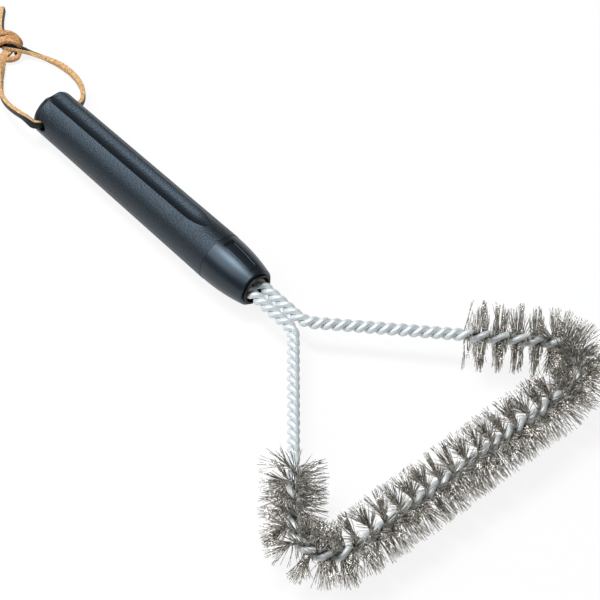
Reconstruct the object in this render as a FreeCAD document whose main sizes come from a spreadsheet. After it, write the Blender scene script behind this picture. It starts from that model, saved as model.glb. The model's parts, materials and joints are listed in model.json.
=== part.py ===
import FreeCAD, Part
import math
import os
import Sketcher
from FreeCAD import Placement, Rotation, Vector

# Three-sided grill brush, lying as it rests on a table. Millimetres, +Z up.
# Everything is laid out in the brush's own frame first: the grip's axis is Y, its mouth is y = 0, the
# butt is at +Y, the head at -Y, and z = 0 is the plane of the bent wire. The whole brush is then tilted
# until its butt touches the table, and moved so that the origin is the middle of its footprint.

doc = FreeCAD.newDocument("grill_brush")
sheet = doc.addObject("Spreadsheet::Sheet", "Sizes")
value = {}


def size(name, number, meaning):
    row = len(value) + 1
    sheet.set("A%d" % row, meaning)
    sheet.set("B%d" % row, str(number))
    sheet.setAlias("B%d" % row, name)
    value[name] = number


# grip: one hollow moulding, open at the mouth
size("grip_length", 148.0, "mouth to butt")
size("grip_r", 12.65, "largest radius, where the grained part begins")
size("butt_r", 11.5, "radius at the butt")
size("butt_rise", 2.4, "height of the domed end face")
size("butt_round", 3.4, "rounding of the butt's edge")
size("nose_length", 25.0, "smooth nose, mouth to the grained part")
size("nose_curve_r", 100.0, "radius of the nose's swelling outline")
size("grain_step", 0.15, "how far the grained part stands out of the nose")
size("mouth_r", 9.65, "outside radius at the mouth")
size("mouth_wall", 1.45, "wall of the grip round the nose plug")
size("rim_bevel", 0.6, "bevel round the mouth")
size("plug_seat", 12.0, "depth of the nose plug's seat")
size("core_r", 6.0, "radius of the hollow behind the anchor sleeve")
size("core_depth", 118.0, "mouth to the end of the hollow")
size("grip_roll", 11.0, "turn of the grip about its axis against the head")
size("flute_width", 9.5, "width of the thumb flute across its edges")
size("flute_sink", 2.6, "depth of the flute under the line between its edges")
size("flute_start", 35.6, "mouth to the flute's rounded end")
size("flute_end", 12.4, "length of that rounded end")
size("plate_start", 2.8, "mouth to the sunk bare plate")
size("plate_length", 19.0, "length of the sunk plate")
size("plate_angle", 28.0, "width of the sunk plate, as an angle about the axis")
size("plate_depth", 0.45, "depth of the sunk plate")
size("hole_back", 8.2, "butt to the hang hole's axis")
size("hole_r", 2.6, "radius of the hang hole")
size("hole_bevel", 0.7, "bevel at the hang hole's two mouths")

# nose plug and anchor sleeve
size("fit_gap", 0.15, "gap round a seated insert")
size("plug_proud", 1.1, "how far the plug's face stands out of the grip's rim")
size("plug_dish", 2.4, "depth of the plug's dished face")
size("plug_rim", 1.0, "width of the ring round that dish")
size("lug_width", 3.2, "width of the plug's two side lugs")
size("lug_reach", 0.7, "how far a lug reaches into the grip's wall")
size("lug_length", 2.4, "length of a lug along the axis")
size("sleeve_length", 24.0, "length of the pressed steel sleeve")
size("sleeve_wall", 1.2, "wall of the sleeve")
size("sleeve_gap", 0.1, "gap between the wires and the sleeve")

# bent wire: a pair of strands twisted together, left-handed all the way
size("strand_r", 1.5, "radius of one strand")
size("strand_gap", 0.05, "half of the gap between the two strands")
size("leg_offset", 3.25, "grip's axis to the centre of each leg inside the grip")
size("wire_past", 2.0, "how far the wire's ends reach past the sleeve")
size("fork_start", 24.8, "mouth to the start of the fork")
size("fork_r", 12.0, "bend radius at the fork")
size("leg_angle", 42.0, "angle of each leg from the grip's axis")
size("bar_reach", 140.0, "mouth to the front bar")
size("corner_r", 16.0, "bend radius of the two corners")
size("leg_pitch", 10.2, "one full turn of the twist on the bare legs")
size("brush_pitch", 15.9, "one full turn of the twist at the middle of the bar")
size("pitch_drift", 0.116, "share by which the twist tightens from there to the bar's right end")
size("side_pitch", 17.0, "one full turn of the twist at the corners and on the legs' bristled part")
size("pitch_change", 7.0, "length over which the twist changes")
size("twist_phase", 33.0, "angle of the first strand at the middle of the bar")

# bristles: two packs of fine wire held between the strands and wound with them
size("brush_r", 17.0, "tip radius of the bristles")
size("bare_leg", 73.5, "bare part of each leg, from the fork to the bristles")
size("root_r", 1.15, "radius at which the bristles leave the strands")
size("root_thick", 0.5, "thickness of a bristle pack at the strands")
size("tip_thick", 5.0, "thickness of a bristle pack at its tips")
size("tuft_notch", 1.8, "depth of the notches between the tufts at a pack's tips")
size("notch_thick", 3.0, "thickness of a bristle pack in those notches")
size("pack_gap", 0.5, "gap between one pack and the next, along the wire")
size("corner_clear", 2.5, "how far the tips inside a corner stop short of its middle")

# hang loop: a leather lace
size("lace_r", 1.7, "radius of the lace")
size("lace_out", 2.3, "grip's side to the lace where it turns")
size("knot_long", 7.0, "half of the knot's length")
size("knot_wide", 6.4, "half of the knot's width")
size("knot_high", 4.4, "half of the knot's height")
size("knot_grip", 1.4, "how far each end of the lace sits in the knot")

doc.recompute()

BAR_PACKS = 6
STRAND_SIDES = 8
STRAND_SECTIONS = 12
PACK_TUFTS = 14


def total(terms):
    """Sum of the sizes named in terms, such as "grip_length -butt_rise"."""
    result = 0.0
    for term in terms.split():
        if term.startswith("-"):
            result -= value[term[1:]]
        else:
            result += value[term]
    return result


def formula(terms):
    text = "0"
    for term in terms.split():
        text += " - Sizes." + term[1:] if term.startswith("-") else " + Sizes." + term
    return text


def bind(thing, **properties):
    for name, terms in properties.items():
        thing.setExpression(name, formula(terms))


def profile(name, corners):
    """Closed sketch. A corner is (x, y), or (x, y, radius) where an arc that bulges out follows it."""
    sketch = doc.addObject("Sketcher::SketchObject", name)
    spots = [Vector(total(corner[0]), total(corner[1]), 0) for corner in corners]
    for index, corner in enumerate(corners):
        start = spots[index]
        end = spots[(index + 1) % len(spots)]
        if len(corner) == 2:
            sketch.addGeometry(Part.LineSegment(start, end), False)
            continue
        chord = end - start
        if corner[2] == "on axis":
            radius = (start.x ** 2 + chord.y ** 2) / (2 * chord.y)
        else:
            radius = value[corner[2]]
        rise = radius - math.sqrt(radius ** 2 - (chord.Length / 2) ** 2)
        middle = (start + end) * 0.5 + Vector(chord.y, -chord.x, 0).normalize() * rise
        sketch.addGeometry(Part.Arc(start, middle, end), False)
    for index, corner in enumerate(corners):
        following = (index + 1) % len(corners)
        here = first_end(sketch, index, spots[index])
        there = first_end(sketch, following, spots[following])
        sketch.addConstraint(Sketcher.Constraint("Coincident", index, 3 - here, following, there))
        for kind, terms, place, axis in (("DistanceX", corner[0], spots[index].x, -2),
                                         ("DistanceY", corner[1], spots[index].y, -1)):
            if terms:
                number = sketch.addConstraint(Sketcher.Constraint(kind, -1, 1, index, here, place))
                sketch.setExpression("Constraints[%d]" % number, formula(terms))
            else:
                sketch.addConstraint(Sketcher.Constraint("PointOnObject", index, here, axis))
        if len(corner) == 3 and corner[2] == "on axis":
            sketch.addConstraint(Sketcher.Constraint("PointOnObject", index, 3, -2))
        elif len(corner) == 3:
            number = sketch.addConstraint(Sketcher.Constraint("Radius", index, value[corner[2]]))
            sketch.setExpression("Constraints[%d]" % number, formula(corner[2]))
    doc.recompute()
    return sketch


def first_end(sketch, index, spot):
    """1 or 2, for whichever end of an edge lies at the spot."""
    edge = sketch.Geometry[index]
    return 1 if (edge.StartPoint - spot).Length < (edge.EndPoint - spot).Length else 2


def turned(name, corners, angle=None):
    """The profile turned about the Y axis, all the way round or through a named angle."""
    solid = doc.addObject("Part::Revolution", name)
    solid.Source = profile(name + "_profile", corners)
    solid.Axis = Vector(0, 1, 0)
    solid.Angle = 360.0
    solid.Solid = True
    if angle:
        solid.setExpression("Angle", formula(angle))
    doc.recompute()
    return solid


def rod(name, radius, height, base=Vector(0, 0, 0), axis=Vector(0, 1, 0)):
    solid = doc.addObject("Part::Cylinder", name)
    bind(solid, Radius=radius, Height=height)
    solid.Placement = Placement(base, Rotation(Vector(0, 0, 1), axis))
    return solid


def block(name, length, width, height, base):
    solid = doc.addObject("Part::Box", name)
    bind(solid, Length=length, Width=width, Height=height)
    solid.Placement.Base = base
    return solid


def fused(name, parts):
    whole = doc.addObject("Part::MultiFuse", name)
    whole.Shapes = parts
    doc.recompute()
    return whole


def cut(name, base, tool):
    rest = doc.addObject("Part::Cut", name)
    rest.Base = base
    rest.Tool = tool
    doc.recompute()
    return rest


def common(name, parts):
    rest = doc.addObject("Part::MultiCommon", name)
    rest.Shapes = parts
    doc.recompute()
    return rest


def oval(name, radius, length, start):
    """Solid round both legs of the wire, from y = start towards the butt."""
    half = value["leg_offset"]
    ends = [rod(name + "_" + side, radius, length, Vector(x, start, 0))
            for side, x in (("left", -half), ("right", half))]
    middle = block(name + "_middle", "leg_offset leg_offset", length, radius + " " + radius,
                   Vector(-half, start, -total(radius)))
    return fused(name, ends + [middle])


# --- grip ------------------------------------------------------------------------------------------

PLUG_BORE = "mouth_r -mouth_wall"
PAIR = "strand_r strand_r strand_gap"
SLEEVE_OUT = PAIR + " sleeve_gap sleeve_wall"
SLEEVE_BORE = "leg_offset fit_gap " + SLEEVE_OUT
SLEEVE_END = "plug_seat fit_gap sleeve_length fit_gap"
ROLL = Placement(Vector(0, 0, 0), Rotation(Vector(0, 1, 0), value["grip_roll"]))


def make_grip():
    turning = turned("grip_turning", [
        (PLUG_BORE, ""),
        ("mouth_r -rim_bevel", ""),
        ("mouth_r", "rim_bevel", "nose_curve_r"),
        ("grip_r -grain_step", "nose_length"),
        ("grip_r", "nose_length"),
        ("butt_r", "grip_length -butt_rise", "on axis"),
        ("", "grip_length"),
        ("", "core_depth"),
        ("core_r", "core_depth"),
        ("core_r", SLEEVE_END),
        (SLEEVE_BORE, SLEEVE_END),
        (SLEEVE_BORE, "plug_seat"),
        (PLUG_BORE, "plug_seat")])
    rounded = doc.addObject("Part::Fillet", "rounded_grip")
    rounded.Base = turning
    edges = turning.Shape.Edges
    rim = max(range(len(edges)), key=lambda number: rim_score(edges[number]))
    rounded.Edges = [(rim + 1, value["butt_round"], value["butt_round"])]
    doc.recompute()
    fluted = cut("fluted_grip", rounded, flute_cutter())
    plated = cut("plated_grip", fluted, plate_cutter())
    drilled = cut("drilled_grip", plated, hole_cutter())
    slots = [lug("lug_slot_left", -1, "fit_gap"), lug("lug_slot_right", 1, "fit_gap")]
    return cut("grip", drilled, fused("lug_slots", slots))


def rim_score(edge):
    """Largest for the widest round edge near the butt."""
    box = edge.BoundBox
    near = box.YMin > value["core_depth"] and box.YLength < value["grain_step"] / 10
    return box.XLength if near else 0.0


def flute_cutter():
    """Round bar with an end that rises in a long arc, laid along the top of the grip."""
    half = value["flute_width"] / 2
    sink = value["flute_sink"]
    radius = (half ** 2 + sink ** 2) / (2 * sink)
    end_radius = (value["flute_end"] ** 2 + sink ** 2) / (2 * sink)
    tip = math.sqrt(2 * radius * end_radius - radius ** 2)
    slope = total("grip_r -butt_r") / total("grip_length -butt_rise -nose_length")
    start = total("flute_start flute_end")
    surface = value["grip_r"] - slope * (start - value["nose_length"])
    lift = math.sqrt(surface ** 2 - half ** 2) - sink + radius
    middle = math.asin(tip / end_radius) / 2
    on_rise = Vector(math.cos(middle) - 1, -math.sin(middle), 0) * end_radius + Vector(radius, 0, 0)
    rise = Part.Arc(Vector(0, -tip, 0), on_rise, Vector(radius, 0, 0)).toShape()
    rest = Part.makePolygon([Vector(radius, 0, 0), Vector(radius, value["grip_length"], 0),
                             Vector(0, value["grip_length"], 0), Vector(0, -tip, 0)])
    face = Part.Face(Part.Wire([rise] + rest.Edges))
    solid = doc.addObject("Part::Feature", "flute_cutter")
    solid.Shape = face.revolve(Vector(0, 0, 0), Vector(0, 1, 0), 360)
    solid.Placement = Placement(Vector(0, start, lift), Rotation(Vector(0, 1, 0), Vector(0, 1, -slope)))
    return solid


def plate_cutter():
    ring = turned("plate_ring", [
        ("mouth_r -plate_depth", "rim_bevel", "nose_curve_r"),
        ("grip_r -grain_step -plate_depth", "nose_length"),
        ("grip_r grip_r", "nose_length"),
        ("grip_r grip_r", "rim_bevel")], "plate_angle")
    ring.Placement.Rotation = Rotation(Vector(0, 1, 0), -90 - value["plate_angle"] / 2)
    reach = 2 * value["grip_r"]
    window = block("plate_window", "grip_r grip_r grip_r grip_r", "plate_length", "grip_r grip_r",
                   Vector(-reach, value["plate_start"], 0))
    return common("plate_cutter", [ring, window])


def hole_cutter():
    y = total("grip_length -hole_back")
    bore = rod("hang_bore", "hole_r", "grip_r grip_r grip_r grip_r", Vector(-2 * value["grip_r"], y, 0),
               Vector(1, 0, 0))
    parts = [bore]
    for side, name in ((-1, "hang_bevel_left"), (1, "hang_bevel_right")):
        cone = doc.addObject("Part::Cone", name)
        bind(cone, Radius1="hole_r", Radius2="hole_r grip_r", Height="grip_r")
        cone.Placement = Placement(Vector(side * total("butt_r -hole_bevel"), y, 0),
                                   Rotation(Vector(0, 0, 1), Vector(side, 0, 0)))
        parts.append(cone)
    return fused("hole_cutter", parts)


def lug(name, side, gap=""):
    """A lug at the plug's side, or with a gap the slot in the grip's rim that takes it."""
    width = "lug_width " + gap + " " + gap
    inner = total(PLUG_BORE + " -plug_rim")
    outer = total(PLUG_BORE + " lug_reach " + gap)
    base = Vector(inner if side > 0 else -outer, 0, -total(width) / 2)
    return block(name, "plug_rim lug_reach " + gap, "lug_length " + gap, width, base)


# --- nose plug and anchor sleeve ---------------------------------------------------------------------

def make_plug():
    dish = PLUG_BORE + " -fit_gap -plug_rim"
    body = turned("plug_turning", [
        ("", "plug_dish -plug_proud"),
        (dish, "plug_dish -plug_proud"),
        (dish, "-plug_proud"),
        (PLUG_BORE + " -fit_gap", "-plug_proud"),
        (PLUG_BORE + " -fit_gap", "plug_seat -fit_gap"),
        ("", "plug_seat -fit_gap")])
    solid = fused("lugged_plug", [body, lug("plug_lug_left", -1), lug("plug_lug_right", 1)])
    passage = oval("plug_passage", PAIR + " fit_gap", "plug_seat plug_seat", -value["plug_seat"] / 2)
    passage.Placement = ROLL.inverse()
    return cut("nose_plug", solid, passage)


def make_sleeve():
    start = total("plug_seat fit_gap")
    outside = oval("sleeve_outside", SLEEVE_OUT, "sleeve_length", start)
    inside = oval("sleeve_inside", PAIR + " sleeve_gap", "sleeve_length sleeve_length",
                  start - value["sleeve_length"] / 2)
    return cut("anchor_sleeve", outside, inside)


# --- bent wire ---------------------------------------------------------------------------------------

LEANING = math.radians(value["leg_angle"])


def wire_runs():
    """The pair's centre line as (length, turn per mm) runs, from the left leg's end to the right one's."""
    fork = value["fork_r"]
    corner = value["corner_r"]
    leg_x = value["leg_offset"] + fork * (1 - math.cos(LEANING))
    leg_y = -value["fork_start"] - fork * math.sin(LEANING)
    corner_y = -value["bar_reach"] + corner * (1 + math.sin(LEANING))
    leg = (leg_y - corner_y) / math.cos(LEANING)
    half_bar = leg_x + leg * math.sin(LEANING) - corner * math.cos(LEANING)
    left = [(WIRE_IN + value["fork_start"], 0.0), (fork * LEANING, -1 / fork), (leg, 0.0),
            (corner * (math.pi / 2 + LEANING), 1 / corner)]
    return left + [(2 * half_bar, 0.0)] + left[::-1]


WIRE_IN = total(SLEEVE_END + " -fit_gap wire_past")
RUNS = wire_runs()
MIDDLE = sum(length for length, turn in RUNS) / 2
HALF_BAR = RUNS[4][0] / 2
CORNER_END = RUNS[3][0] + HALF_BAR
BRUSH_HALF = RUNS[2][0] - value["bare_leg"] + CORNER_END


def core(along):
    """Point and heading of the pair's centre line, a distance along it."""
    spot = Vector(-value["leg_offset"], WIRE_IN, 0)
    heading = -math.pi / 2
    for length, turn in RUNS:
        step = min(along, length)
        ahead = heading + turn * step
        if turn:
            bend = Vector(math.sin(ahead) - math.sin(heading), math.cos(heading) - math.cos(ahead), 0)
            spot = spot + bend / turn
        else:
            spot = spot + Vector(math.cos(heading), math.sin(heading), 0) * step
        heading = ahead
        along -= step
    return spot, heading


def on_bar(along):
    """Distance along the wire from the middle of the bar, no further than the bar's ends."""
    return min(max(along - MIDDLE, -HALF_BAR), HALF_BAR)


def twist_rate(along):
    away = abs(along - MIDDLE)
    if away < HALF_BAR:
        return 2 * math.pi / value["brush_pitch"] * (1 + value["pitch_drift"] * on_bar(along) / HALF_BAR)
    side = 2 * math.pi / value["side_pitch"]
    leg = 2 * math.pi / value["leg_pitch"]
    share = (away - BRUSH_HALF) / value["pitch_change"]
    return side + (leg - side) * min(max(share, 0.0), 1.0)


def twist(along):
    """Angle of the first strand about the centre line, worked out from the middle of the bar."""
    inside = on_bar(along)
    drifted = inside + value["pitch_drift"] * inside ** 2 / (2 * HALF_BAR)
    beyond = abs(along - MIDDLE) - abs(inside)
    bristled = min(beyond, BRUSH_HALF - HALF_BAR)
    change = min(beyond - bristled, value["pitch_change"])
    rates = twist_rate(MIDDLE + BRUSH_HALF) + twist_rate(MIDDLE + BRUSH_HALF + change)
    outer = rates / 2 * change + twist_rate(0) * (beyond - bristled - change)
    outer += twist_rate(MIDDLE + BRUSH_HALF) * bristled
    turned_so_far = 2 * math.pi / value["brush_pitch"] * drifted + math.copysign(outer, inside)
    return math.radians(value["twist_phase"]) - turned_so_far


def around(along, angle, radius):
    """Point beside the centre line. Angle 0 is on the inside of the bends, and 90 degrees is up."""
    spot, heading = core(along)
    inward = Vector(-math.sin(heading), math.cos(heading), 0)
    return spot + inward * (radius * math.cos(angle)) + Vector(0, 0, radius * math.sin(angle))


def sections(start, end, count):
    """Places between start and end, count of them to each turn of the twist."""
    places = [start]
    while places[-1] + 0.5 * math.pi / count / twist_rate(places[-1]) < end:
        places.append(min(end, places[-1] + 2 * math.pi / count / twist_rate(places[-1])))
    places[-1] = end
    return places


def skinned(rings):
    """Solid of flat triangles over a row of rings, closed at both ends."""
    count = len(rings[0])
    points = [point for ring in rings for point in ring]
    faces = []
    for row in range(len(rings) - 1):
        for column in range(count):
            near = row * count + column
            side = row * count + (column + 1) % count
            faces.append((near, side, side + count))
            faces.append((near, side + count, near + count))
    last = len(points) - count
    for column in range(1, count - 1):
        faces.append((0, column + 1, column))
        faces.append((last, last + column, last + column + 1))
    shape = Part.Shape()
    shape.makeShapeFromMesh((points, faces), value["strand_gap"] / 100)
    solid = Part.Solid(Part.Shell(shape.Faces))
    if solid.Volume < 0:
        solid.reverse()
    return solid


def strand(angle):
    helix = total("strand_r strand_gap")
    rings = []
    for along in sections(0.0, 2 * MIDDLE, STRAND_SECTIONS):
        turn = twist(along) + angle
        spot, heading = core(along)
        centre = around(along, turn, helix)
        outward = (centre - spot).normalize()
        forward = Vector(math.cos(heading), math.sin(heading), 0)
        tangent = forward - forward.cross(outward) * (helix * twist_rate(along))
        sideways = tangent.normalize().cross(outward)
        ring = []
        for side in range(STRAND_SIDES):
            corner = 2 * math.pi * side / STRAND_SIDES
            beside = outward * math.cos(corner) + sideways * math.sin(corner)
            ring.append(centre + beside * value["strand_r"])
        rings.append(ring)
    return skinned(rings)


def make_strand(name, angle):
    solid = doc.addObject("Part::Feature", name)
    solid.Shape = strand(angle)
    return solid


# --- bristles ----------------------------------------------------------------------------------------

def reach(along, angle):
    """Tip radius. On the inside of a corner the tips stop short of those from its other side."""
    inward = math.cos(angle)
    away = abs(along - MIDDLE)
    beside = max(HALF_BAR - away, away - CORNER_END, 0.0)
    tangent = value["corner_r"] / math.tan(math.pi / 4 - LEANING / 2)
    limit = (tangent + beside) * math.tan(math.pi / 4 - LEANING / 2) - value["corner_clear"]
    if inward * value["brush_r"] <= limit:
        return value["brush_r"]
    return limit / inward


def bristle_pack(start, end, angle):
    """Wound fan of bristles: narrow at the strands, wide at the tips, where notches part its tufts."""
    root = value["root_thick"] / 2
    full = total("brush_r -root_r")
    rings = []
    for number, along in enumerate(sections(start, end, 2 * PACK_TUFTS)):
        turn = twist(along) + angle
        tip = reach(along, turn)
        thick = value["tip_thick"]
        if number % 2:
            tip -= value["tuft_notch"]
            thick = value["notch_thick"]
        edge = root + (thick / 2 - root) * (tip - value["root_r"]) / full
        rings.append([around(along - root, turn, value["root_r"]),
                      around(along + root, turn, value["root_r"]),
                      around(along + edge, turn, tip),
                      around(along - edge, turn, tip)])
    return skinned(rings)


def make_bristles(name, start, end):
    gap = value["pack_gap"] / 2
    packs = [bristle_pack(start + gap, end - gap, side * math.pi / 2) for side in (-1, 1)]
    solid = doc.addObject("Part::Feature", name)
    solid.Shape = Part.makeCompound(packs)
    return solid


def all_bristles():
    found = []
    for side, word in ((-1, "left"), (1, "right")):
        for name, near, far in (("corner", HALF_BAR, CORNER_END), ("side", CORNER_END, BRUSH_HALF)):
            ends = sorted((MIDDLE + side * near, MIDDLE + side * far))
            found.append(make_bristles("bristles_%s_%s" % (word, name), ends[0], ends[1]))
    pack = 2 * HALF_BAR / BAR_PACKS
    for number in range(BAR_PACKS):
        start = MIDDLE - HALF_BAR + number * pack
        found.append(make_bristles("bristles_bar_%d" % (number + 1), start, start + pack))
    return found


# --- how the brush lies on the table -------------------------------------------------------------------

def resting(parts):
    """Tilt that brings the butt and the bristles nearest the grip down to one level, then the move."""
    butt = Vector(0, total("grip_length -butt_rise -butt_round"), -value["butt_r"])
    rear = around(MIDDLE - BRUSH_HALF, -math.pi / 2, value["brush_r"])
    tilt = math.degrees(math.atan2(butt.z - rear.z, butt.y - rear.y))
    lie = Placement(Vector(0, 0, 0), Rotation(Vector(1, 0, 0), -tilt))
    whole = FreeCAD.BoundBox()
    for thing, own in parts:
        shape = thing.Shape.copy()
        shape.Placement = lie.multiply(own)
        whole.add(shape.optimalBoundingBox(False))
    move = Vector(0, -(whole.YMin + whole.YMax) / 2, -whole.ZMin)
    return Placement(move, Rotation(Vector(1, 0, 0), -tilt))


# --- lace ---------------------------------------------------------------------------------------------

# x and y from the hang hole's centre, and height above the table
RIGHT_ROUTE = [(20.2, 5.6, 6.9), (24.5, 13.6, 4.4), (26.5, 21.8, 2.6), (26.0, 29.4, 1.9), (23.9, 37.0, 1.8),
               (20.8, 44.4, 1.85)]
LEFT_ROUTE = [(-14.7, 7.0, 12.6), (-12.2, 14.8, 9.8), (-9.2, 23.0, 6.2), (-5.6, 31.4, 3.4), (-1.6, 38.9, 2.0),
              (3.4, 45.6, 1.85)]
KNOT_AT = (15.2, 54.3)
TAIL_ROUTES = {"lace_tail_long": [(25.0, 66.5, 2.2), (31.0, 80.0, 1.8)],
               "lace_tail_short": [(12.6, 67.0, 2.2), (14.2, 79.0, 1.8)]}


def from_hole(hole, x, y, height):
    return Vector(hole.x + x, hole.y + y, height)


def toward_knot(knot, spot):
    """Where a lace that comes from the spot ends inside the knot."""
    line = spot - knot
    line.z = 0
    scale = math.hypot(line.x / value["knot_wide"], line.y / value["knot_long"])
    inside = 1 - value["knot_grip"] / total("knot_wide")
    level = Vector(knot.x, knot.y, min(spot.z + value["lace_r"] / 2, knot.z))
    return level + line * (inside / scale)


def tube(name, spots):
    """Lace of straight runs and tangent arcs, each arc as large as its two runs allow."""
    share = 0.45
    edges = []
    here = spots[0]
    for before, corner, after in zip(spots, spots[1:], spots[2:]):
        back = (before - corner).normalize()
        ahead = (after - corner).normalize()
        trim = share * min((before - corner).Length, (after - corner).Length)
        half = (math.pi - back.getAngle(ahead)) / 2
        radius = trim / math.tan(half)
        print("%s: radius %.1f mm at a turn of %.0f degrees" % (name, radius, math.degrees(2 * half)))
        start = corner + back * trim
        end = corner + ahead * trim
        bisector = (back + ahead).normalize()
        middle = corner + bisector * (radius / math.cos(half) - radius)
        edges.append(Part.LineSegment(here, start).toShape())
        edges.append(Part.Arc(start, middle, end).toShape())
        here = end
    edges.append(Part.LineSegment(here, spots[-1]).toShape())
    path = Part.Wire(edges)
    circle = Part.Circle(spots[0], spots[1] - spots[0], value["lace_r"]).toShape()
    solid = path.makePipeShell([Part.Wire(circle)], True, False)
    expected = math.pi * value["lace_r"] ** 2 * path.Length
    print("%s: %.1f mm long, volume %.4f of its section times its length"
          % (name, path.Length, solid.Volume / expected))
    return solid


def make_lace(lie):
    """The two halves of the loop, the knot that joins them and its two tails, where they lie."""
    hole = lie.multVec(Vector(0, total("grip_length -hole_back"), 0))
    out = value["lace_out"] + total("butt_r")
    knot = from_hole(hole, KNOT_AT[0], KNOT_AT[1], value["knot_high"])
    laces = []
    for name, side, route in (("lace_right", 1, RIGHT_ROUTE), ("lace_left", -1, LEFT_ROUTE)):
        exit_spot = hole + lie.Rotation.multVec(ROLL.multVec(Vector(side * out, 0, 0)))
        spots = [hole, exit_spot] + [from_hole(hole, x, y, height) for x, y, height in route]
        spots.append(toward_knot(knot, spots[-1]))
        laces.append(make_tube(name, spots))
    for name, route in TAIL_ROUTES.items():
        spots = [from_hole(hole, x, y, height) for x, y, height in route]
        laces.append(make_tube(name, [toward_knot(knot, spots[0])] + spots))
    ball = doc.addObject("Part::Ellipsoid", "knot_ball")
    bind(ball, Radius1="knot_high", Radius2="knot_wide", Radius3="knot_long")
    ball.Placement.Base = knot
    return laces, cut("lace_knot", ball, fused("knot_sockets", laces))


def make_tube(name, spots):
    solid = doc.addObject("Part::Feature", name)
    solid.Shape = tube(name, spots)
    return solid


# --- the whole brush ------------------------------------------------------------------------------------

brush = [(make_grip(), ROLL), (make_plug(), ROLL), (make_sleeve(), Placement())]
brush += [(make_strand("wire_strand_a", 0.0), Placement()),
          (make_strand("wire_strand_b", math.pi), Placement())]
brush += [(bristles, Placement()) for bristles in all_bristles()]
lie = resting(brush)
for thing, own in brush:
    thing.Placement = lie.multiply(own)
laces, knot = make_lace(lie)
doc.recompute()

pieces = [thing for thing, own in brush] + laces + [knot]
for thing in doc.Objects:
    if "Invalid" in thing.State or "Error" in thing.State:
        raise RuntimeError("%s failed: %s" % (thing.Name, thing.State))
os.makedirs("parts", exist_ok=True)
for thing in pieces:
    thing.Label = thing.Name
    if thing.Shape.isNull() or not thing.Shape.isValid():
        raise RuntimeError("%s has no valid shape" % thing.Label)
    thing.Shape.exportStep("parts/%s.step" % thing.Label)
    box = thing.Shape.BoundBox
    print("%-24s %d solids %9.1f mm3  x %.1f..%.1f  y %.1f..%.1f  z %.2f..%.2f" % (
        thing.Label, len(thing.Shape.Solids), thing.Shape.Volume,
        box.XMin, box.XMax, box.YMin, box.YMax, box.ZMin, box.ZMax))
print("tilt %s, moved by %s" % (lie.Rotation.toEuler(), lie.Base))
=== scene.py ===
# Three-sided grill brush lying on a table: twisted wire, steel bristles, moulded grip and leather loop.
# Metres, +Z up, everything at its real size.
import json
import math
import random

import bpy
from mathutils import Matrix, Vector, noise


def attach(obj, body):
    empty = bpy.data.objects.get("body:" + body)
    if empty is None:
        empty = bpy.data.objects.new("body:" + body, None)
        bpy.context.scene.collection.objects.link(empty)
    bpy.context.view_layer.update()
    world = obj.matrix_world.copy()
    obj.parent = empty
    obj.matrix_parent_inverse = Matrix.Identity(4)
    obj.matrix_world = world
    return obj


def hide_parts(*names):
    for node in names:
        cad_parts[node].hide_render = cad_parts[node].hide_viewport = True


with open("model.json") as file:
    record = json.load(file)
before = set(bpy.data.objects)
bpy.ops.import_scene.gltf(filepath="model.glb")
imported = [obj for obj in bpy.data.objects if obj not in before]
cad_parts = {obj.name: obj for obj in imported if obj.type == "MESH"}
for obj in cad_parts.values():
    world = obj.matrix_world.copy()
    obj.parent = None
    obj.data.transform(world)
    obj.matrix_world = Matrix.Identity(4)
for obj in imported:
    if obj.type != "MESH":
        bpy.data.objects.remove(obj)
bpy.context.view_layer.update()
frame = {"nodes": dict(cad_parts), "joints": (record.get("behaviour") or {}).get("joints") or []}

mm = 0.001
up = Vector((0, 0, 1))

# How the brush lies. In its own frame the grip's axis is Y, its mouth is y = 0 and the bent wire is in
# z = 0. The laces swing about the hang hole's axis, and that axis gives the tilt.
hinge = frame["joints"][0]
holeCentre = Vector(hinge["pos_m"])
holeAxis = Vector(hinge["axis"]).normalized()
holeToMouth = 139.8 * mm
tilt = math.atan2(-holeAxis.y, -holeAxis.z)
turnToTable = Matrix.Rotation(-tilt, 4, "X")
mouthCentre = holeCentre - turnToTable @ Vector((0, holeToMouth, 0))
toTable = Matrix.Translation(mouthCentre) @ turnToTable
noseLength = 25 * mm        # the grip's smooth tapered end


# camera: a long lens from above the grip's side, which nearly flattens the view

camera = {        # in the brush's own frame
    "azimuth": -42.0755,
    "elevation": 51.5793,
    "roll": -0.0527,
    "distance": 2814.354 * mm,
    "lookAt": (10.607 * mm, -18.665 * mm, 0.0),
    "lens": 365.745,        # mm, for a square picture on a sensor this wide
    "sensor": 36,
}


def makeCamera():
    azimuth = math.radians(camera["azimuth"])
    elevation = math.radians(camera["elevation"])
    roll = math.radians(camera["roll"])
    back = Vector((math.sin(azimuth) * math.cos(elevation), -math.cos(azimuth) * math.cos(elevation),
                   math.sin(elevation)))
    level = Vector((math.cos(azimuth), math.sin(azimuth), 0))
    upright = back.cross(level)
    right = level * math.cos(roll) + upright * math.sin(roll)
    top = back.cross(right)
    data = bpy.data.cameras.new("camera")
    data.lens = camera["lens"]
    data.sensor_width = camera["sensor"]
    viewer = bpy.data.objects.new("camera", data)
    spot = Vector(camera["lookAt"]) + back * camera["distance"]
    turn = Matrix((right, top, back)).transposed().to_4x4()
    viewer.matrix_world = toTable @ Matrix.Translation(spot) @ turn
    bpy.context.scene.collection.objects.link(viewer)
    bpy.context.scene.camera = viewer


makeCamera()
print("camera set")


# small helpers for meshes

def newPiece(name, points, faces):
    mesh = bpy.data.meshes.new(name)
    mesh.from_pydata(points, [], faces)
    mesh.polygons.foreach_set("use_smooth", [True] * len(faces))
    mesh.update()
    piece = bpy.data.objects.new(name, mesh)
    bpy.context.scene.collection.objects.link(piece)
    return piece


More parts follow.
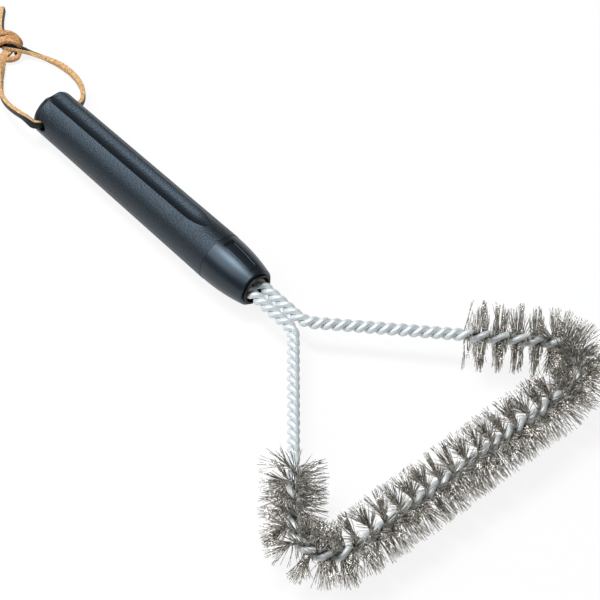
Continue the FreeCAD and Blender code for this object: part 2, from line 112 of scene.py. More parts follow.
def overRings(rings):        # points and faces over a row of rings, with a cap on each end
    count = len(rings[0])
    points = [point for ring in rings for point in ring]
    faces = []
    for row in range(len(rings) - 1):
        for column in range(count):
            here = row * count + column
            beside = row * count + (column + 1) % count
            faces.append((here, beside, beside + count, here + count))
    faces.append(tuple(reversed(range(count))))
    faces.append(tuple(range(len(points) - count, len(points))))
    return points, faces


# leather loop: one flat lace, knotted, black on its outer face

lace = {
    "width": 3.8 * mm,
    "thick": 2.2 * mm,
    "edgeRound": 0.45 * mm,
    "uneven": 0.09,        # share by which the hand-cut width wanders
    "unevenEvery": 5 * mm,
    "stepsPerSpot": 12,
    "pastGrip": 13.6 * mm,        # from the hole's centre to where the lace turns
    "gripSide": 11.7 * mm,        # and to the grip's own side
    # x and y from the hang hole's centre, and height above the table
    "right": [(19.6, 4.4, 7.6), (24.6, 12.4, 5.0), (26.8, 21.6, 3.2),
              (26.4, 30.0, 2.3), (23.8, 37.8, 2.2), (20.2, 44.6, 2.8)],
    "left": [(-14.2, 7.0, 16.2), (-13.8, 17.0, 12.6), (-11.5, 26.2, 8.6),
             (-7.4, 34.0, 5.2), (-1.6, 41.0, 3.2), (4.6, 47.6, 2.4)],
    "knot": (14.7, 53.8, 5.3),
    # in the knot's own frame: across the loop, along it away from the grip, and up
    "rightEnd": [(7.6, -3.0, -0.9), (2.5, -2.2, -0.2), (-2.6, -0.6, -0.8)],
    "leftEnd": [(-2.6, -5.6, -2.2), (0.8, -1.8, -2.0), (1.6, 0.8, -1.8)],
    "longTail": [(-1.6, 0.6, -0.6), (-3.0, 6.2, -0.9), (-4.6, 14.8, -2.7), (-3.5, 24.5, -3.1)],
    "shortTail": [(-3.4, 1.2, -1.0), (-6.6, 5.0, -1.9), (-11.4, 13.6, -3.0), (-16.2, 21.2, -3.1)],
    "wrap": [(2.5, -2.0, -1.5), (5.0, -3.0, -2.1), (4.8, -5.6, -3.0), (0.8, -7.2, -3.3), (-4.0, -6.2, -3.1),
             (-6.8, -3.4, -1.6), (-6.6, -1.4, 1.4), (-4.0, -0.7, 3.6), (0.6, -0.3, 4.3), (4.6, -0.8, 3.0),
             (6.0, -0.8, -0.4), (4.4, 0.9, -3.3), (-0.5, 2.1, -3.5), (-6.0, 2.7, -2.3), (-7.3, 2.9, 0.9),
             (-5.0, 3.6, 3.4), (-1.6, 4.2, 4.1), (2.4, 3.5, 3.3), (5.2, 2.0, 0.9), (5.0, 1.8, -1.8),
             (1.0, 2.4, -2.4)],
    # share of the length, and how far the strap is turned about its length there, in degrees
    "rightTurns": [(0.0, 0), (0.45, 6), (0.7, 42), (0.86, 66), (1.0, 70)],
    "leftTurns": [(0.0, 0), (0.12, -22), (0.22, 4), (0.4, 8), (0.6, 16), (0.76, 58), (0.86, 84), (1.0, 84)],
    "longTurns": [(0.0, 50), (0.4, 20), (1.0, 9)],
    "shortTurns": [(0.0, 30), (1.0, 12)],
    "wrapTurns": [(0.0, 0), (1.0, 0)],
}
alongLoop = Vector((0.669, 0.743, 0))        # from the grip to the knot and on to the tails
acrossLoop = alongLoop.cross(up)


def fromHole(x, y, height):
    return Vector((holeCentre.x + x * mm, holeCentre.y + y * mm, height * mm))


def fromKnot(across, along, rise):
    return fromHole(*lace["knot"]) + (acrossLoop * across + alongLoop * along + up * rise) * mm


def smoothLine(name, spots):        # points along one NURBS spline that the spots steer
    data = bpy.data.curves.new(name, "CURVE")
    data.dimensions = "3D"
    data.resolution_u = lace["stepsPerSpot"]
    spline = data.splines.new("NURBS")
    spline.points.add(len(spots) - 1)
    for point, spot in zip(spline.points, spots):
        point.co = (*spot, 1)
    spline.order_u = 3
    spline.use_endpoint_u = True
    holder = bpy.data.objects.new(name, data)
    line = bpy.data.meshes.new_from_object(holder)
    found = [vertex.co.copy() for vertex in line.vertices]
    bpy.data.meshes.remove(line)
    bpy.data.objects.remove(holder)
    bpy.data.curves.remove(data)
    return found


def turnAt(turns, share):        # eases from each listed turn to the next
    for (start, before), (end, after) in zip(turns, turns[1:]):
        if share <= end:
            step = (share - start) / (end - start)
            step = step * step * (3 - 2 * step)
            return math.radians(before + (after - before) * step)
    return math.radians(turns[-1][1])


def laceRings(line, outwardAt, turns):
    bevel = lace["edgeRound"]
    halfThick = lace["thick"] / 2 - bevel
    rings = []
    for index, spot in enumerate(line):
        ahead = (line[min(index + 1, len(line) - 1)] - line[max(index - 1, 0)]).normalized()
        outward = outwardAt(spot, ahead)
        outward = (outward - ahead * outward.dot(ahead)).normalized()
        angle = turnAt(turns, index / (len(line) - 1))
        side = outward.cross(ahead)
        face = outward * math.cos(angle) + side * math.sin(angle)
        side = side * math.cos(angle) - outward * math.sin(angle)
        wander = 1 + lace["uneven"] * noise.noise(spot / lace["unevenEvery"])
        halfWide = lace["width"] / 2 * wander - bevel
        ring = []
        for sideways, through in ((1, 1), (-1, 1), (-1, -1), (1, -1)):
            corner = spot + side * (sideways * halfWide) + face * (through * halfThick)
            for step in ((0, 1, 2) if sideways * through > 0 else (2, 1, 0)):
                ring.append(corner + side * (sideways * bevel * math.cos(step * math.pi / 4))
                            + face * (through * bevel * math.sin(step * math.pi / 4)))
        rings.append(ring)
    return rings


def makeLace(name, line, outwardAt, turns):        # gives the strap and the faces of its dyed side
    rings = laceRings(line, outwardAt, turns)
    points, faces = overRings(rings)
    piece = newPiece(name, points, faces)
    count = len(rings[0])
    dyed = [row * count + column for row in range(len(rings) - 1) for column in (1, 2, 3)]
    return piece, dyed


def awayFromLoop(side):        # which way the dyed face looks at a spot: level, to one side of the lace
    return lambda spot, ahead: ahead.cross(up) * side


def towardsKnot(spot, ahead):
    return knotCentre - spot


def knotLine(name):
    return smoothLine(name, [fromKnot(*spot) for spot in lace[name]])


def strapLine(name, side):        # out of the hang hole, round and into the knot
    spots = [holeCentre, holeCentre + holeAxis * (side * lace["pastGrip"])]
    spots += [fromHole(*spot) for spot in lace[name]]
    spots += [fromKnot(*spot) for spot in lace[name + "End"]]
    return smoothLine(name, spots)


knotCentre = fromKnot(0, 0, 0)
rightLine = strapLine("right", 1)
leftLine = strapLine("left", -1)

laceRight, rightDyed = makeLace("lace_right_strap", rightLine, awayFromLoop(1), lace["rightTurns"])
laceLeft, leftDyed = makeLace("lace_left_strap", leftLine, awayFromLoop(-1), lace["leftTurns"])
tailLong, longDyed = makeLace("lace_tail_long_strap", knotLine("longTail"), awayFromLoop(1),
                              lace["longTurns"])
tailShort, shortDyed = makeLace("lace_tail_short_strap", knotLine("shortTail"), awayFromLoop(1),
                                lace["shortTurns"])
knot, knotDyed = makeLace("lace_knot_wrap", knotLine("wrap"), towardsKnot, lace["wrapTurns"])

for piece, node in ((laceRight, "lace_right"), (laceLeft, "lace_left"), (tailLong, "lace_tail_long"),
                    (tailShort, "lace_tail_short"), (knot, "lace_knot")):
    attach(piece, "lace")
    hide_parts(node)
print("leather loop laid")


# bent wire: two strands twisted together, left-handed, round three sides of a triangle

wire = {
    "strandRadius": 1.5 * mm,
    "halfGap": 0.05 * mm,        # between the two strands
    "legOffset": 3.25 * mm,        # grip's axis to each leg inside the grip
    "insideGrip": 38.15 * mm,        # from the grip's mouth to the wires' hidden ends
    "forkStart": 24.8 * mm,        # and the other way, to where the legs part
    "forkRadius": 12 * mm,
    "legAngle": math.radians(42),
    "barReach": 140 * mm,        # from the grip's mouth to the bar
    "cornerRadius": 16 * mm,
    "legPitch": 10.2 * mm,        # one full turn of the twist on the bare legs
    "brushPitch": 15.9 * mm,        # and at the middle of the bar
    "pitchDrift": 0.116,        # share by which it tightens from there to the bar's right end
    "sidePitch": 17.0 * mm,        # at the corners and on the legs' bristled part
    "pitchChange": 7 * mm,
    "phase": math.radians(33),        # of the first strand at the middle of the bar
    "bareLeg": 73.5 * mm,        # straight part of a leg that carries no bristles
    "sides": 14,
    "ringsPerTurn": 26,
}


def wireRuns():        # (length, turn per metre) runs of the pair's centre line
    lean = wire["legAngle"]
    fork = wire["forkRadius"]
    corner = wire["cornerRadius"]
    legX = wire["legOffset"] + fork * (1 - math.cos(lean))
    legY = -wire["forkStart"] - fork * math.sin(lean)
    cornerY = -wire["barReach"] + corner * (1 + math.sin(lean))
    leg = (legY - cornerY) / math.cos(lean)
    bar = 2 * (legX + leg * math.sin(lean) - corner * math.cos(lean))
    left = [(wire["insideGrip"] + wire["forkStart"], 0.0), (fork * lean, -1 / fork), (leg, 0.0),
            (corner * (math.pi / 2 + lean), 1 / corner)]
    return left + [(bar, 0.0)] + left[::-1]


runs = wireRuns()
middle = sum(length for length, turn in runs) / 2
halfBar = runs[4][0] / 2
cornerEnd = runs[3][0] + halfBar
brushHalf = runs[2][0] - wire["bareLeg"] + cornerEnd


def core(along):        # point and heading of the pair's centre line, in the brush's own frame
    spot = Vector((-wire["legOffset"], wire["insideGrip"], 0))
    heading = -math.pi / 2
    for length, turn in runs:
        step = min(along, length)
        ahead = heading + turn * step
        if turn:
            bend = Vector((math.sin(ahead) - math.sin(heading), math.cos(heading) - math.cos(ahead), 0))
            spot = spot + bend / turn
        else:
            spot = spot + Vector((math.cos(heading), math.sin(heading), 0)) * step
        heading = ahead
        along -= step
    return spot, heading


def onBar(along):        # distance from the middle of the bar, no further than the bar's ends
    return min(max(along - middle, -halfBar), halfBar)


def twistRate(along):
    away = abs(along - middle)
    if away < halfBar:
        return 2 * math.pi / wire["brushPitch"] * (1 + wire["pitchDrift"] * onBar(along) / halfBar)
    side = 2 * math.pi / wire["sidePitch"]
    leg = 2 * math.pi / wire["legPitch"]
    share = (away - brushHalf) / wire["pitchChange"]
    return side + (leg - side) * min(max(share, 0.0), 1.0)


def twist(along):        # angle of the first strand about the centre line
    inside = onBar(along)
    drifted = inside + wire["pitchDrift"] * inside ** 2 / (2 * halfBar)
    beyond = abs(along - middle) - abs(inside)
    bristled = min(beyond, brushHalf - halfBar)
    change = min(beyond - bristled, wire["pitchChange"])
    rates = twistRate(middle + brushHalf) + twistRate(middle + brushHalf + change)
    outer = rates / 2 * change + twistRate(0) * (beyond - bristled - change)
    outer += twistRate(middle + brushHalf) * bristled
    return wire["phase"] - 2 * math.pi / wire["brushPitch"] * drifted - math.copysign(outer, inside)


def strandRings(phase):
    helix = wire["strandRadius"] + wire["halfGap"]
    rings = []
    along = 0.0
    while along < 2 * middle:
        turn = twist(along) + phase
        spot, heading = core(along)
        inward = Vector((-math.sin(heading), math.cos(heading), 0))
        forward = Vector((math.cos(heading), math.sin(heading), 0))
        outward = inward * math.cos(turn) + up * math.sin(turn)
        centre = spot + outward * helix
        tangent = (forward - forward.cross(outward) * (helix * twistRate(along))).normalized()
        sideways = tangent.cross(outward)
        ring = []
        for side in range(wire["sides"]):
            angle = 2 * math.pi * side / wire["sides"]
            ring.append(toTable @ (centre + (outward * math.cos(angle) + sideways * math.sin(angle))
                                   * wire["strandRadius"]))
        rings.append(ring)
        along += 2 * math.pi / wire["ringsPerTurn"] / twistRate(along)
    return rings


strands = []
for letter, phase in (("a", 0.0), ("b", math.pi)):
    points, faces = overRings(strandRings(phase))
    strand = newPiece("round_wire_" + letter, points, faces)
    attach(strand, "brush")
    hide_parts("wire_strand_" + letter)
    strands.append(strand)
print("wire twisted")


# plate on the nose: the mould leaves a fine raised line round the sunk bare plate

plate = {        # y from the grip's mouth, angle about its axis from straight up
    "from": 3.9 * mm,
    "to": 20.9 * mm,
    "angles": (math.radians(-1.8), math.radians(23.6)),
    "sunk": 0.45 * mm,
    "bead": 0.3 * mm,        # radius of the line
    "mouthRadius": 9.65 * mm,
    "noseRadius": 12.5 * mm,
    "bevel": 0.6 * mm,
    "swell": 0.755 * mm,        # how far the nose's outline bulges past a straight taper
    "steps": 12,        # on each side of the outline
    "sides": 6,
}


def onPlate(along, angle):
    share = (along - plate["bevel"]) / (noseLength - plate["bevel"])
    radius = plate["mouthRadius"] + (plate["noseRadius"] - plate["mouthRadius"]) * share
    radius += 4 * plate["swell"] * share * (1 - share) - plate["sunk"]
    return Vector((radius * math.sin(angle), along, radius * math.cos(angle)))


def plateOutline():
    left, right = plate["angles"]
    near, far = plate["from"], plate["to"]
    steps = [step / plate["steps"] for step in range(plate["steps"])]
    line = [onPlate(near + (far - near) * step, left) for step in steps]
    line += [onPlate(far, left + (right - left) * step) for step in steps]
    line += [onPlate(far + (near - far) * step, right) for step in steps]
    return line + [onPlate(near, right + (left - right) * step) for step in steps]


def makePlateLine():
    line = plateOutline()
    count = len(line)
    sides = plate["sides"]
    points = []
    for index, spot in enumerate(line):
        ahead = (line[(index + 1) % count] - line[index - 1]).normalized()
        outward = Vector((spot.x, 0, spot.z)).normalized()
        sideways = ahead.cross(outward).normalized()
        for side in range(sides):
            angle = 2 * math.pi * side / sides
            out = (outward * math.cos(angle) + sideways * math.sin(angle)) * plate["bead"]
            points.append(toTable @ (spot + out))
    faces = []
    for row in range(count):
        here = row * sides
        after = (row + 1) % count * sides
        for side in range(sides):
            beside = (side + 1) % sides
            faces.append((here + side, here + beside, after + beside, after + side))
    return newPiece("plate_line", points, faces)


plateLine = makePlateLine()
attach(plateLine, "brush")
print("plate outlined")


# bristles: short steel wires held between the strands and wound with them

bristle = {
    "tipRadius": 17 * mm,
    "rootRadius": 0.7 * mm,
    "splayRadius": 3.0 * mm,        # clear of the strands, where they spread
    "sheet": 0.15 * mm,        # half of the thickness of the sheet that the strands hold
    "cornerClear": 2.5 * mm,        # how far the tips inside a corner stop short of its middle
    "thick": 0.4 * mm,        # the real ones are about 0.2 mm, drawn thicker to show
    "perMetre": 9300,        # on each side of the pair
    "rightLeg": 0.78,        # share of that on the right leg
    "rightCorner": 1.25,        # and round the right corner, where they nearly hide the wire
    "thinEnd": 6 * mm,        # length over which the outermost bristles get as dense as the rest
    "endDensity": 0.15,
    "rightStart": 4 * mm,        # how much nearer to the grip the right leg's bristles begin
    "clump": 1.3 * mm,        # length of wire whose bristles lean together
    "clumpLean": (math.radians(9), math.radians(12)),        # along the wire and round it
    "ownLean": (math.radians(7), math.radians(8)),
    "clumpRange": (0.6, 1.4),        # shares by which clumps differ in length
    "shortest": 0.9,        # share of the full reach
    "curl": 0.05,
    "curlAt": 0.55,        # share of the length past the splay
    "tip": 0.6,        # share of the thickness
    # how far the bristles are pushed about: least on the right leg, where the bundles stand apart
    "worn": {"left_side": 1.5, "left_corner": 1.5, "bar_5": 1.2, "bar_6": 1.5, "right_corner": 1.8,
             "right_side": 0.4},
    "barPacks": 6,
    "seed": 41,
}


def reach(along, angle):        # how far out the tips are, less where a corner's two sides would meet
    inward = math.cos(angle)
    away = abs(along - middle)
    beside = max(halfBar - away, away - cornerEnd, 0.0)
    half = math.pi / 4 - wire["legAngle"] / 2
    limit = (wire["cornerRadius"] / math.tan(half) + beside) * math.tan(half) - bristle["cornerClear"]
    if inward * bristle["tipRadius"] <= limit:
        return bristle["tipRadius"]
    return limit / inward


def addFilament(points, faces, along, side, lean, rng):
    turn = twist(along) + side * math.pi / 2
    spot, heading = core(along)
    inward = Vector((-math.sin(heading), math.cos(heading), 0))
    forward = Vector((math.cos(heading), math.sin(heading), 0))
    radial = inward * math.cos(turn) + up * math.sin(turn)
    tangential = up * math.cos(turn) - inward * math.sin(turn)
    pointing = (radial + tangential * math.tan(lean[1]) + forward * math.tan(lean[0])).normalized()
    beside = spot + tangential * rng.uniform(-1, 1) * bristle["sheet"]
    splay = beside + radial * bristle["splayRadius"]
    length = reach(along, turn + lean[1]) * rng.uniform(bristle["shortest"], 1.0)
    length -= bristle["splayRadius"]
    curl = tangential * rng.gauss(0, bristle["curl"]) + forward * rng.gauss(0, bristle["curl"])
    sideways = pointing.cross(forward).normalized()
    upward = sideways.cross(pointing)
    first = len(points)
    line = [(beside + radial * bristle["rootRadius"], 1.0), (splay, 1.0),
            (splay + (pointing + curl) * (bristle["curlAt"] * length), 1.0),
            (splay + pointing * length, bristle["tip"])]
    for place, thick in line:
        for corner in range(3):
            angle = 2 * math.pi * corner / 3
            out = (sideways * math.cos(angle) + upward * math.sin(angle)) * (bristle["thick"] / 2 * thick)
            points.append(toTable @ (place + out))
    for row in range(3):
        for corner in range(3):
            here = first + row * 3 + corner
            beside = first + row * 3 + (corner + 1) % 3
            faces.append((here, beside, beside + 3, here + 3))
    faces.append((first + 9, first + 10, first + 11))


def density(along):        # thin at both ends of the run and on the right leg, full at the right corner
    inside = brushHalf - abs(along - middle)
    full = 1.0
    if along > middle + cornerEnd:
        full = bristle["rightLeg"]
        inside += bristle["rightStart"]
    elif along > middle + halfBar:
        full = bristle["rightCorner"]
    thin = bristle["endDensity"]
    return full * (thin + (1 - thin) * min(max(inside / bristle["thinEnd"], 0.0), 1.0))


def makeBristles(name, start, end, rng):
    points = []
    faces = []
    wild = bristle["worn"].get(name[len("bristles_"):], 1.0)
    for side in (-1, 1):
        along = start
        while along < end:
            clump = bristle["clump"] * rng.uniform(*bristle["clumpRange"])
            lean = [rng.gauss(0, spread) * wild for spread in bristle["clumpLean"]]
            for number in range(round(clump * bristle["perMetre"] * density(along + clump / 2))):
                own = [shared + rng.gauss(0, spread) * wild
                       for shared, spread in zip(lean, bristle["ownLean"])]
                addFilament(points, faces, min(along + rng.random() * clump, end), side, own, rng)
            along += clump
    piece = newPiece(name + "_wires", points, faces)
    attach(piece, "brush")
    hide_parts(name)
    return piece


def bristleStretches():        # node name, start and end along the wire
    found = []
    for side, word in ((-1, "left"), (1, "right")):
        for name, near, far in (("corner", halfBar, cornerEnd), ("side", cornerEnd, brushHalf)):
            ends = sorted((middle + side * near, middle + side * far))
            if word == "right" and name == "side":
                ends[1] += bristle["rightStart"]
            found.append(("bristles_%s_%s" % (word, name), ends[0], ends[1]))
    pack = 2 * halfBar / bristle["barPacks"]
    for number in range(bristle["barPacks"]):
        start = middle - halfBar + number * pack
        found.append(("bristles_bar_%d" % (number + 1), start, start + pack))
    return found


rng = random.Random(bristle["seed"])
bristles = [makeBristles(name, start, end, rng) for name, start, end in bristleStretches()]
print("bristles wound in")


# materials

def linear(text):        # sRGB hex colour to the linear values that the shader takes
    values = [int(text[place:place + 2], 16) / 255 for place in (1, 3, 5)]
    values = [value / 12.92 if value <= 0.04045 else ((value + 0.055) / 1.055) ** 2.4 for value in values]
    return (*values, 1.0)


def newMaterial(name):
    material = bpy.data.materials.new(name)
    material.use_nodes = True
    material.node_tree.nodes.clear()
    return material


# links: socket -> value, or (node, output). A Mix node's two colours are its sockets 6 and 7, its result is 2.
def addNode(material, kind, settings=None, links=None):
    tree = material.node_tree
    node = tree.nodes.new(kind)
    for key, value in (settings or {}).items():
        setattr(node, key, value)
    for key, value in (links or {}).items():
        if isinstance(value, tuple) and hasattr(value[0], "outputs"):
            tree.links.new(value[0].outputs[value[1]], node.inputs[key])
        else:
            node.inputs[key].default_value = value
    return node


def brushSpace(material):        # y along the grip, 0 at its mouth, read from the point on the object
    place = addNode(material, "ShaderNodeTexCoord")
    direction = turnToTable.to_3x3() @ Vector((0, 1, 0))
    along = addNode(material, "ShaderNodeVectorMath", {"operation": "DOT_PRODUCT"},
                    {0: (place, "Object"), 1: direction})
    return addNode(material, "ShaderNodeMath", {"operation": "SUBTRACT"},
                   {0: (along, "Value"), 1: mouthCentre.dot(direction)})


# Polypropylene, injection moulded. The body is spark-eroded in the mould, which leaves a dull leathery
# grain; the nose is polished, so it is smoother and carries a clear soft highlight.
grainedPolypropylene = {
    "colour": "#0d1115",
    "sheen": "#c4dcf0",        # the cool cast of its highlights
    "gloss": 0.9,
    "grain": 0.9 * mm,        # the real grain is about 0.3 mm, drawn coarser to show
    "grainDepth": 0.22 * mm,        # of the whole noise, which mostly stays in its middle quarter
    "grainRoughness": 0.46,
    "noseRoughness": 0.36,
}


def makeGripPlastic():
    finish = grainedPolypropylene
    material = newMaterial("grained_polypropylene")
    along = brushSpace(material)
    grained = addNode(material, "ShaderNodeMath", {"operation": "GREATER_THAN"},
                      {0: (along, 0), 1: noseLength})
    place = addNode(material, "ShaderNodeTexCoord")
    grain = addNode(material, "ShaderNodeTexNoise", None,
                    {"Vector": (place, "Object"), "Scale": 1 / finish["grain"], "Detail": 2.0,
                     "Roughness": 0.6})
    roughness = addNode(material, "ShaderNodeMapRange", None,
                        {"Value": (grained, 0), "To Min": finish["noseRoughness"],
                         "To Max": finish["grainRoughness"]})
    bump = addNode(material, "ShaderNodeBump", None,
                   {"Strength": (grained, 0), "Distance": finish["grainDepth"], "Height": (grain, "Fac")})
    shader = addNode(material, "ShaderNodeBsdfPrincipled", None,
                     {"Base Color": linear(finish["colour"]), "Roughness": (roughness, 0), "IOR": 1.49,
                      "Specular Tint": linear(finish["sheen"]), "Specular IOR Level": finish["gloss"],
                      "Normal": (bump, 0)})
    addNode(material, "ShaderNodeOutputMaterial", None, {"Surface": (shader, 0)})
    return material


# Polypropylene, injection moulded with no grain: a plain satin face, faintly mottled.
satinPolypropylene = {
    "colour": "#08090a",
    "mottle": 1.2 * mm,
    "roughness": (0.4, 0.55),
    "gloss": 0.3,
}


def makePlugPlastic():
    finish = satinPolypropylene
    material = newMaterial("satin_polypropylene")
    place = addNode(material, "ShaderNodeTexCoord")
    mottle = addNode(material, "ShaderNodeTexNoise", None,
                     {"Vector": (place, "Object"), "Scale": 1 / finish["mottle"], "Detail": 2.0})
    roughness = addNode(material, "ShaderNodeMapRange", None,
                        {"Value": (mottle, "Fac"), "To Min": finish["roughness"][0],
                         "To Max": finish["roughness"][1]})
    shader = addNode(material, "ShaderNodeBsdfPrincipled", None,
                     {"Base Color": linear(finish["colour"]), "Roughness": (roughness, 0), "IOR": 1.49,
                      "Specular IOR Level": finish["gloss"]})
    addNode(material, "ShaderNodeOutputMaterial", None, {"Surface": (shader, 0)})
    return material


# Steel wire, galvanised in molten zinc and drawn: pale, slightly blue, satin, with a faint spangle.
galvanisedSteel = {
    "bright": "#f4f8f9",
    "dull": "#dfe7e9",
    "spangle": 1.6 * mm,
    "metallic": 0.35,        # a bloom of zinc oxide dulls the metal
    "roughness": (0.46, 0.58),
}


def makeGalvanised():
    finish = galvanisedSteel
    material = newMaterial("galvanised_steel")
    place = addNode(material, "ShaderNodeTexCoord")
    spangle = addNode(material, "ShaderNodeTexNoise", None,
                      {"Vector": (place, "Object"), "Scale": 1 / finish["spangle"], "Detail": 3.0})
    colour = addNode(material, "ShaderNodeMix", {"data_type": "RGBA"},
                     {"Factor": (spangle, "Fac"), 6: linear(finish["dull"]), 7: linear(finish["bright"])})
    roughness = addNode(material, "ShaderNodeMapRange", None,
                        {"Value": (spangle, "Fac"), "To Min": finish["roughness"][0],
                         "To Max": finish["roughness"][1]})
    shader = addNode(material, "ShaderNodeBsdfPrincipled", None,
                     {"Base Color": (colour, 2), "Metallic": finish["metallic"], "Roughness": (roughness, 0)})
    addNode(material, "ShaderNodeOutputMaterial", None, {"Surface": (shader, 0)})
    return material


# Carbon steel wire, hard drawn and oiled: grey-brown, each bristle with a thin bright glint from the lamps.
# Its colour also swings at random, patch by patch, between near white and near black: painted glints and
# painted shade, for bristles that catch the light differently and shade one another in the pack.
drawnSteel = {
    # bright is a painted glint and dull a painted shade
    "bright": "#fffaf0",
    "dull": "#1c150b",
    "glintShadePatch": 0.7 * mm,        # about two bristles wide, so neighbours differ in painted glint and painted shade
    "glintShadeRange": (0.4, 0.58),        # the noise's values for full painted shade and full painted glint
    "metallic": 0.9,
    "roughness": 0.24,
}


def makeBristleSteel():
    finish = drawnSteel
    material = newMaterial("drawn_steel")
    place = addNode(material, "ShaderNodeTexCoord")
    glintShadePatch = addNode(material, "ShaderNodeTexNoise", None,
                    {"Vector": (place, "Object"), "Scale": 1 / finish["glintShadePatch"], "Detail": 2.0})
    share = addNode(material, "ShaderNodeMapRange", None,
                    {"Value": (glintShadePatch, "Fac"), "From Min": finish["glintShadeRange"][0],
                     "From Max": finish["glintShadeRange"][1]})
    # painted glints and painted shade, mixed patch by patch
    colour = addNode(material, "ShaderNodeMix", {"data_type": "RGBA"},
                     {"Factor": (share, 0), 6: linear(finish["dull"]), 7: linear(finish["bright"])})
    shader = addNode(material, "ShaderNodeBsdfPrincipled", None,
                     {"Base Color": (colour, 2), "Metallic": finish["metallic"],
                      "Roughness": finish["roughness"]})
    addNode(material, "ShaderNodeOutputMaterial", None, {"Surface": (shader, 0)})
    return material


# Vegetable-tanned cowhide lace: the flesh side and cut edges are tan and fuzzy, the other face is dyed.
cowhide = {
    "tan": "#f6cf96",
    "tanDark": "#9c5420",
    "knotShaded": "#ebb981",        # the knot: a darker copy of the tan, painted shade for its tight, crowded wraps
    "knotShadedDark": "#8e4517",
    "dyed": "#0d0e0f",
    "dyedWorn": "#1c1e20",
    "fibre": 0.9 * mm,        # tufts of the flesh side, drawn about twice as coarse as they are
    "fibreRange": (0.3, 0.62),
    "fuzz": 0.2 * mm,
    "fuzzStrength": 0.6,
    "tanRoughness": 0.8,
    "knotRoughness": 0.75,
    "dyedRoughness": 0.55,
}


def makeLeather(name, bright, dark, roughness):
    material = newMaterial(name)
    place = addNode(material, "ShaderNodeTexCoord")
    fibre = addNode(material, "ShaderNodeTexNoise", None,
                    {"Vector": (place, "Object"), "Scale": 1 / cowhide["fibre"], "Detail": 5.0,
                     "Roughness": 0.7})
    share = addNode(material, "ShaderNodeMapRange", None,
                    {"Value": (fibre, "Fac"), "From Min": cowhide["fibreRange"][0],
                     "From Max": cowhide["fibreRange"][1]})
    colour = addNode(material, "ShaderNodeMix", {"data_type": "RGBA"},
                     {"Factor": (share, 0), 6: linear(dark), 7: linear(bright)})
    bump = addNode(material, "ShaderNodeBump", None,
                   {"Strength": cowhide["fuzzStrength"], "Distance": cowhide["fuzz"],
                    "Height": (fibre, "Fac")})
    shader = addNode(material, "ShaderNodeBsdfPrincipled", None,
                     {"Base Color": (colour, 2), "Roughness": roughness, "IOR": 1.45, "Normal": (bump, 0)})
    addNode(material, "ShaderNodeOutputMaterial", None, {"Surface": (shader, 0)})
    return material


gripPlastic = makeGripPlastic()
plugPlastic = makePlugPlastic()
galvanised = makeGalvanised()
bristleSteel = makeBristleSteel()
tanLeather = makeLeather("tan_cowhide", cowhide["tan"], cowhide["tanDark"], cowhide["tanRoughness"])
# The knot gets a darker copy of the tan leather: painted shade.
knotShadedLeather = makeLeather("knot_shaded_cowhide", cowhide["knotShaded"], cowhide["knotShadedDark"],
                             cowhide["knotRoughness"])
dyedLeather = makeLeather("dyed_cowhide", cowhide["dyedWorn"], cowhide["dyed"], cowhide["dyedRoughness"])

plateLine.data.materials.append(gripPlastic)
for strand in strands:
    strand.data.materials.append(galvanised)
for piece in bristles:
    piece.data.materials.append(bristleSteel)
for piece, flesh, dyed in ((laceRight, tanLeather, rightDyed), (laceLeft, tanLeather, leftDyed),
                           (tailLong, tanLeather, longDyed), (tailShort, tanLeather, shortDyed),
                           (knot, knotShadedLeather, knotDyed)):
    piece.data.materials.append(flesh)
    piece.data.materials.append(dyedLeather)
    for face in dyed:
        piece.data.polygons[face].material_index = 1
for name, material in (("grip", gripPlastic), ("nose_plug", plugPlastic), ("anchor_sleeve", galvanised)):
    for slot in frame["nodes"][name].material_slots:
        slot.link = "OBJECT"
        slot.material = material
print("materials on")


# table and soft light

studio = {
    "tableHalf": 4.0,        # metres from its middle to each edge
    "tableColour": "#dcdcdc",
    "shadowShare": 0.13,        # share of the white seen that is the table's own, with its shadows
    "skyStrength": 0.18,
    "lampColour": "#fafcff",
    # place, power in watts and side of each softbox
    "keySoftbox": ((-0.12, 0.46, 1.53), 16.5, 0.5),
    "fillSoftbox": ((-0.75, 0.6, 1.25), 11.0, 1.0),
}


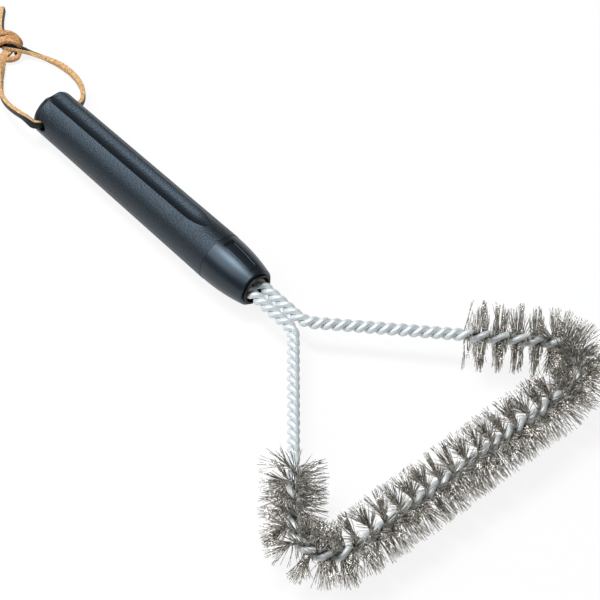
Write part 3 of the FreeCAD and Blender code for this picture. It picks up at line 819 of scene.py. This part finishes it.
def makeFloor():
    half = studio["tableHalf"]
    corners = [(-half, -half, 0), (half, -half, 0), (half, half, 0), (-half, half, 0)]
    mesh = bpy.data.meshes.new("table")
    mesh.from_pydata(corners, [], [(0, 1, 2, 3)])
    floor = bpy.data.objects.new("table", mesh)
    bpy.context.scene.collection.objects.link(floor)
    material = newMaterial("white_table")
    ray = addNode(material, "ShaderNodeLightPath")
    mirrored = addNode(material, "ShaderNodeMath", {"operation": "MAXIMUM"},
                       {0: (ray, "Is Glossy Ray"), 1: (ray, "Is Transmission Ray")})
    seen = addNode(material, "ShaderNodeMath", {"operation": "MAXIMUM"},
                   {0: (ray, "Is Camera Ray"), 1: (mirrored, 0)})
    share = studio["shadowShare"]
    table = addNode(material, "ShaderNodeBsdfDiffuse", None, {"Color": linear(studio["tableColour"])})
    shadow = addNode(material, "ShaderNodeBsdfDiffuse", None, {"Color": (share, share, share, 1.0)})
    white = addNode(material, "ShaderNodeEmission", None, {"Color": (1, 1, 1, 1), "Strength": 1 - share})
    both = addNode(material, "ShaderNodeAddShader", None, {0: (shadow, 0), 1: (white, 0)})
    chosen = addNode(material, "ShaderNodeMixShader", None, {"Fac": (seen, 0), 1: (table, 0), 2: (both, 0)})
    addNode(material, "ShaderNodeOutputMaterial", None, {"Surface": (chosen, 0)})
    mesh.materials.append(material)


def makeLight():
    world = bpy.data.worlds.new("studio")
    world.use_nodes = True
    background = world.node_tree.nodes["Background"]
    background.inputs["Color"].default_value = (1, 1, 1, 1)
    background.inputs["Strength"].default_value = studio["skyStrength"]
    bpy.context.scene.world = world
    for name in ("keySoftbox", "fillSoftbox"):
        place, power, side = studio[name]
        data = bpy.data.lights.new(name, "AREA")
        data.energy = power
        data.size = side
        data.color = linear(studio["lampColour"])[:3]
        lamp = bpy.data.objects.new(name, data)
        lamp.location = place
        lamp.rotation_euler = Vector(place).to_track_quat("Z", "Y").to_euler()
        bpy.context.scene.collection.objects.link(lamp)


makeFloor()
makeLight()
bpy.context.scene.view_settings.view_transform = "Standard"
print("table and light ready")
